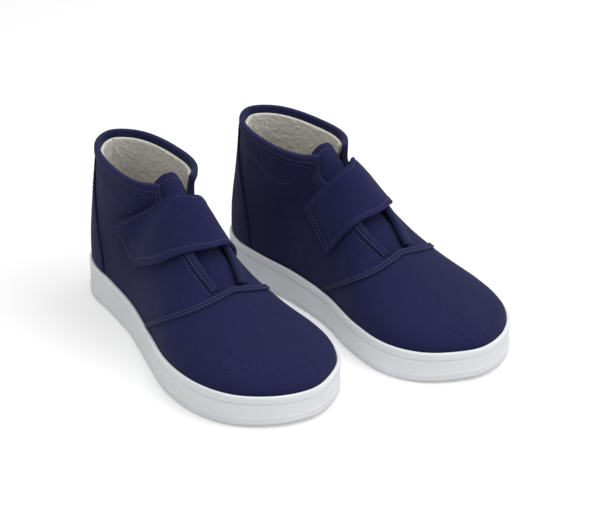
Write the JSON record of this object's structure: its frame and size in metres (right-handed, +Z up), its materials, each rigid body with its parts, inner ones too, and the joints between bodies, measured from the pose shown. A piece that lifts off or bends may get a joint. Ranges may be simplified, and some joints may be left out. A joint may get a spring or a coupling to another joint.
{
  "type": "pair of canvas ankle boots",
  "caption": "Pair of navy canvas mid-height boots with hook-and-loop instep straps, fleece lining, separate tongues and white rubber cupsoles.",
  "frame": {"origin": "centre of the pair's footprint on the ground", "axes": "+X towards the left boot's outer side, -Y towards the toes, +Z up"},
  "size_m": [0.2688, 0.312, 0.1324],
  "materials": {
    "navy_canvas": "plain woven cotton canvas",
    "navy_tape": "twill binding tape",
    "fleece": "short pile fleece",
    "insole_fabric": "brushed fabric over foam",
    "loop_tape": "brushed loop",
    "hook_tape": "moulded hooks",
    "white_rubber": "matt moulded",
    "sole_foam": "cellular",
    "fibre_board": "raw fibre board"
  },
  "bodies": {
    "right_boot": {"cupsole_right": "white_rubber", "sole_filler_right": "sole_foam", "insole_board_right": "fibre_board", "sockliner_right": "insole_fabric", "vamp_right": "navy_canvas", "vamp_lining_right": "fleece", "toe_puff_right": "fibre_board", "heel_counter_right": "fibre_board", "back_stay_right": "navy_canvas", "vamp_seam_tape_right": "navy_tape", "topline_binding_right": "navy_tape", "strap_sewn_end_right": "navy_canvas", "loop_patch_right": "loop_tape", "lateral_quarter_right": "navy_canvas", "lateral_lining_right": "fleece", "medial_quarter_right": "navy_canvas", "medial_lining_right": "fleece"},
    "left_boot": {"cupsole_left": "white_rubber", "sole_filler_left": "sole_foam", "insole_board_left": "fibre_board", "sockliner_left": "insole_fabric", "vamp_left": "navy_canvas", "vamp_lining_left": "fleece", "toe_puff_left": "fibre_board", "heel_counter_left": "fibre_board", "back_stay_left": "navy_canvas", "vamp_seam_tape_left": "navy_tape", "topline_binding_left": "navy_tape", "strap_sewn_end_left": "navy_canvas", "loop_patch_left": "loop_tape", "lateral_quarter_left": "navy_canvas", "lateral_lining_left": "fleece", "medial_quarter_left": "navy_canvas", "medial_lining_left": "fleece"},
    "right_strap": {"strap_flap_right": "navy_canvas", "hook_patch_right": "hook_tape"},
    "right_tongue": {"tongue_right": "navy_canvas", "tongue_lining_right": "fleece"},
    "left_strap": {"strap_flap_left": "navy_canvas", "hook_patch_left": "hook_tape"},
    "left_tongue": {"tongue_left": "navy_canvas", "tongue_lining_left": "fleece"}
  },
  "joints": [
    {"name": "left_boot_lift", "type": "slide", "parent": "right_boot", "child": "left_boot", "axis": [0, 0, 1], "range_m": [0, 0.25]},
    {"name": "right_strap_hinge", "type": "hinge", "parent": "right_boot", "child": "right_strap", "pos_m": [-0.03675, 0.03219, 0.07639], "axis": [-0.1315, 0.8134, 0.5667], "range_deg": [0, 70]},
    {"name": "right_tongue_hinge", "type": "hinge", "parent": "right_boot", "child": "right_tongue", "pos_m": [-0.06948, -0.02368, 0.05934], "axis": [-0.9972, 0.0743, 0], "range_deg": [0, 10], "stiffness_Nm_per_rad": 0.05, "springref_deg": -17.19},
    {"name": "left_strap_hinge", "type": "hinge", "parent": "left_boot", "child": "left_strap", "pos_m": [0.03675, -0.00021, 0.07639], "axis": [-0.1315, -0.8134, -0.5667], "range_deg": [0, 70]},
    {"name": "left_tongue_hinge", "type": "hinge", "parent": "left_boot", "child": "left_tongue", "pos_m": [0.06948, -0.05608, 0.05934], "axis": [-0.9972, -0.0743, 0], "range_deg": [0, 10], "stiffness_Nm_per_rad": 0.05, "springref_deg": -17.19}
  ]
}
